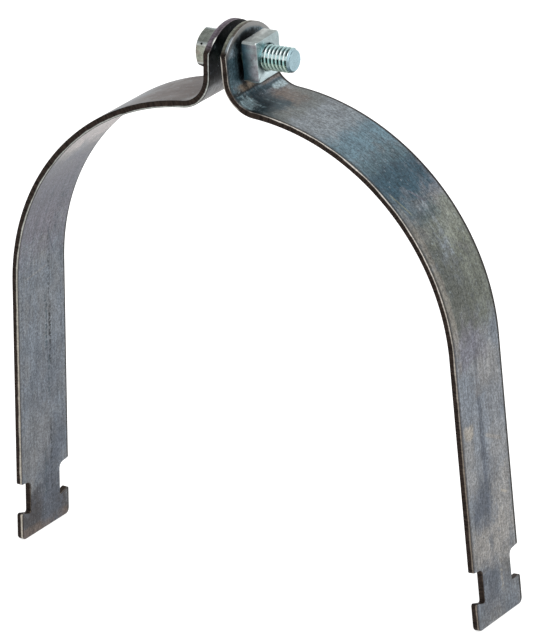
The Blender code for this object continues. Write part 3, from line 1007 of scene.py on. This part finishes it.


# Stains: place along and across the strip, reach along and across (millimetres), colour and strength; some of
# them are painted shade, painted reflections and painted highlights
RIGHT_STAINS = [
    (78, 0, 34, 30, DRAWN_GREY, 0.6),
    (8, 0, 13, 24, IRON, 0.35),
    (16, -5, 11, 6, SLATE_BLUE, 0.7),
    (31, -1, 9, 14, BEIGE_GREY, 0.8),
    (46, -6, 9, 6, SLATE_BLUE, 0.95),
    (46, 8, 11, 7, BEIGE_GREY, 0.75),
    (58, 3, 7, 5, SLATE_BLUE, 0.3),
    (80, -2.2, 46, 1.5, SLATE_BLUE, 0.8),
    (62, -12, 12, 4, BEIGE_GREY, 0.5),
    (66, 9, 9, 7, BEIGE_GREY, 0.4),
    (76, -11, 2.6, 3.4, TAN, 0.8),
    (96, 4, 8, 9, BEIGE_GREY, 0.45),
    (110, -5, 9, 10, MAUVE, 0.7),
    (129, 0, 16, 26, OLIVE, 0.95),
    (128, 9, 18, 8, PALE_OLIVE, 0.4),
    (149, -9, 11, 9, OLIVE, 0.65),
    (151, 7, 9, 12, PALE_OLIVE, 0.8),
    (163, -6, 8, 13, TEAL, 0.6),
    (170, 10, 8, 7, MAUVE, 0.6),
    (174, -3, 11, 22, TEAL, 0.97),
    (190, 0, 11, 26, LIGHT_TEAL, 0.9),
    (195, 0, 10, 26, SEA_TEAL, 0.5),
    (209, 0, 11, 26, PALE_GREY, 0.9),
    (221, 2, 7, 26, OLIVE, 0.6),
    (227, 4.5, 7, 5.5, BROWN, 0.85),
    # Painted shade and dark reflection under the nut, in the bend
    (232, -9, 10, 11, NIGHT_TEAL, 0.9),
    (229.5, -3.6, 7.5, 5, NIGHT_TEAL, 0.85),
    (252, -3, 13, 26, EAR_TEAL, 0.95),
    (237, 4, 1.4, 12, NIGHT_TEAL, 0.8),
    (239.4, 10, 1.2, 8, BROWN, 0.7),
    # A painted shadow of the nut across the bend
    (240.2, 2, 0.8, 20, EDGE_BROWN, 0.8),
    # Painted highlights in the bend
    (233.6, -12, 3.2, 4.4, BLUE_SHEEN, 0.9),
    (235, 10.5, 1.8, 3.6, BLUE_SHEEN, 0.6),
    (242, -6, 1.6, 5.5, RUST, 0.8),
    # A painted highlight on the ear's rim
    (259.4, -12.0, 3.4, 2.6, BARE_STEEL_AND_GLINT, 0.85),
    # Painted shade beside the nut and by its top
    (252, -6.7, 10, 1.8, SHADE_AND_MARK_BLACK, 1.0),
    (260.6, -1.5, 2.2, 9, SHADE_AND_MARK_BLACK, 0.95),
    # A pale line along the near rim
    (133, -13.6, 30, 1.8, PALE_NEAR_RIM, 0.6),
    (141, 0.4, 1.3, 1.3, PALE_GREY, 0.6),
    (141, -3.6, 1.3, 1.3, PALE_GREY, 0.6),
    (144.7, -3.6, 1.2, 1.2, PALE_GREY, 0.5),
    (145.5, 0.8, 1.5, 1.2, PALE_GREY, 0.45),
    (149, 0.4, 1.3, 1.3, PALE_GREY, 0.5),
    (154, 0.6, 1.2, 1.2, PALE_GREY, 0.5),
    (160, 0.3, 1.5, 1.5, PALE_GREY, 0.6),
    (160, -3.4, 1.1, 1.1, PALE_GREY, 0.5),
    (167, -4.6, 2.2, 1.6, BLUE_GREY, 0.6),
]
LEFT_STAINS = [
    (75, 0, 50, 40, BLUE_GREY, 0.6),
    (60, -3, 16, 8, SLATE_BLUE, 0.45),
    (6, 0, 13, 26, FOOT_GREY, 1.0),
    (1, 0, 3, 24, BROWN, 0.5),
    (18, -4, 18, 7, SLATE_BLUE, 0.85),
    (34, -8, 10, 7, SLATE_BLUE, 0.6),
    (38, 6, 11, 10, WARM_GREY, 0.6),
    (38, 8, 22, 9, SLATE_BLUE, 0.25),
    (138, 2, 24, 22, MAUVE, 0.9),
    (148, 0, 14, 30, SLATE_BLUE, 0.3),
    (178, 0, 15, 26, PINK_GREY, 0.9),
    (220, 0, 18, 26, DARK_BROWN, 0.95),
    (252, 0, 12, 26, IRON, 0.6),
    # Painted shade in the gap between the ears
    (256, 0, 11, 30, SHADE_AND_MARK_BLACK, 1.0),
    (250, 0, 6, 60, SHADE_AND_MARK_BLACK, 1.0),
    # A painted highlight on the crown's rim
    (259.5, 13, 1.6, 1.6, BARE_STEEL_AND_GLINT, 0.9),
]
# Broken lines along the strip: first and last place along it, place across, colour and strength
RIGHT_DASHES = [
    (134, 168, 1.0, PALE_GREY, 0.45),
    (142, 156, -3.2, PALE_GREY, 0.35),
    (40, 72, 0.5, SLATE_BLUE, 0.7),
    (24, 60, 3.5, SLATE_BLUE, 0.4),
    (8, 24, 3.0, TAN, 0.5),
    # In the bend: scratch lines lit as painted highlights, with a painted dark reflection between them
    (226, 240, -9.2, BLUE_SHEEN, 0.5),
    (228, 242, -11.4, BLUE_SHEEN, 0.65),
    (225, 240, -13.4, BLUE_SHEEN, 0.55),
    (222, 239, -6.6, NIGHT_TEAL, 0.8),
    (220, 234, -3.0, BLUE_SHEEN, 0.15),
]
LEFT_DASHES = [
    (64, 94, -4.8, SHADE_AND_MARK_BLACK, 0.8),
    (70, 98, -2.4, NIGHT_TEAL, 0.7),
    (50, 72, -3.8, NIGHT_TEAL, 0.5),
    (92, 116, -4.6, SHADE_AND_MARK_BLACK, 0.6),
    (4, 46, -4.6, SHADE_AND_MARK_BLACK, 0.55),
    (10, 34, -0.5, NIGHT_TEAL, 0.4),
    (120, 150, -5.5, SLATE_BLUE, 0.8),
    (112, 134, -3.2, SHADE_AND_MARK_BLACK, 0.45),
    (118, 140, -7.6, NIGHT_TEAL, 0.55),
    (126, 156, -10.4, NIGHT_TEAL, 0.45),
    (116, 146, 1.5, NIGHT_TEAL, 0.4),
    (104, 132, 7.0, NIGHT_TEAL, 0.4),
    (40, 125, 13.2, SLATE_BLUE, 0.7),
    (45, 130, 8.5, SLATE_BLUE, 0.6),
    (50, 100, 4.0, SLATE_BLUE, 0.5),
    (30, 130, -12.8, SLATE_BLUE, 0.7),
]
# Scratches: start and end in the strip, width, colour and strength
RIGHT_SCRATCHES = [
    ((66, 12), (72, -1), 1.1, BEIGE_GREY, 0.7),
    ((45, 12), (47.5, 7), 0.7, TAN, 0.8),
    ((158, -9), (170, -13), 0.6, PALE_OLIVE, 0.8),
    ((160, 3), (168, -3), 0.8, MAUVE, 0.6),
]
LEFT_SCRATCHES = [
    ((109, -9), (125, -1), 0.5, SLATE_BLUE, 0.8),
    ((105, 12), (107, -5), 0.5, BEIGE_GREY, 0.4),
]
# Dark rims of the faces: side, width and strength
RIGHT_RIMS = [(1, 1.0, 0.95), (-1, 0.6, 0.55)]
LEFT_RIMS = [(1, 0.4, 0.4), (-1, 0.7, 0.9)]
# Bright lines on the cut edge: by the outer face or not, first and last place, depth, colour, strength; the
# right strap's first is its shear band, the others are painted highlights on the crowns' rolled rims
RIGHT_LINES = [
    (False, 234, 257.4, 0.2, SHEARED_SADDLE, 0.85),
    (True, 257.4, 263.0, 0.36, BARE_STEEL_AND_GLINT, 0.7),
]
LEFT_LINES = [(False, 259.2, 262.4, 0.2, CROWN_GLINT, 1.0)]

strap(
    "left_strap_steel",
    "left_strap",
    "left_half",
    -1,
    (HOOK_UNDERCUT, HOOK_UNDERCUT),
    [
        strap_face(
            "left_oiled_steel",
            seed=17.0,
            painted_light_outside=False,
            crown_tint=SHADE_AND_MARK_BLACK,
            stains=LEFT_STAINS,
            dashes=LEFT_DASHES,
            scratches=LEFT_SCRATCHES,
            rims=LEFT_RIMS,
        ),
        cut_edge(
            "left_sheared_edge",
            seed=3.0,
            near=1,
            from_outer=False,
            shares=(0.36, 0.22, 1.0),
            lights=(SHEARED_LEG, SHEARED_EAR),
            crown_tints=(CROWN_PLUM, CROWN_MAUVE),
            lines=LEFT_LINES,
        ),
    ],
)
strap(
    "right_strap_steel",
    "right_strap",
    "right_half",
    1,
    (SQUARE_HOOK_UNDERCUT, HOOK_UNDERCUT),
    [
        strap_face(
            "right_oiled_steel",
            seed=140.0,
            painted_light_outside=True,
            crown_tint=EAR_RIM_HIGHLIGHT,
            stains=RIGHT_STAINS,
            dashes=RIGHT_DASHES,
            scratches=RIGHT_SCRATCHES,
            rims=RIGHT_RIMS,
        ),
        cut_edge(
            "right_sheared_edge",
            seed=60.0,
            near=-1,
            from_outer=True,
            shares=(0.27, 0.22, 0.45),
            lights=(WORN_SHEAR, SHEARED_SADDLE),
            crown_tints=(CROWN_BROWN, CROWN_GREY),
            lines=RIGHT_LINES,
        ),
    ],
)
head_start, screw_end = (corner.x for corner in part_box("clamp_screw"))
# A small black spot on the head's side
head_dark_spot = (head_start + 3.0 * MM, -7.0 * MM, AXIS_HEIGHT + 4.0 * MM)
# The head's top facets are painted shade and its ridges a painted highlight
threaded_screw(
    zinc(
        "screw_zinc",
        seed=2.0,
        head_from=5.4 * MM,
        corner_from=7.6 * MM,
        ends=(head_start, head_start + HEAD_HEIGHT),
        sides=(HEAD_GREY, HEAD_PALE),
        tops=(HEAD_TOP, HEAD_TOP),
        face_tint=SCREW_END,
        rough=0.18,
        thread_end=screw_end,
        dark_spots=[(head_dark_spot, 0.6 * MM)],
    )
)
nut_start, nut_end = (corner.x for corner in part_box("square_nut"))
# The nut's sides are a painted reflection of the ear, its tops painted shade and its ridges a painted
# highlight
plated_nut(
    zinc(
        "nut_zinc",
        seed=7.0,
        head_from=6.3 * MM,
        corner_from=10.35 * MM,
        ends=(nut_start, nut_end),
        sides=(NUT_TEAL, NUT_PALE),
        tops=(NUT_TOP, NUT_TOP_FAR),
        face_tint=NUT_FACE,
        rough=0.28,
        thread_end=nut_end,
    )
)
floor()
studio()
camera()
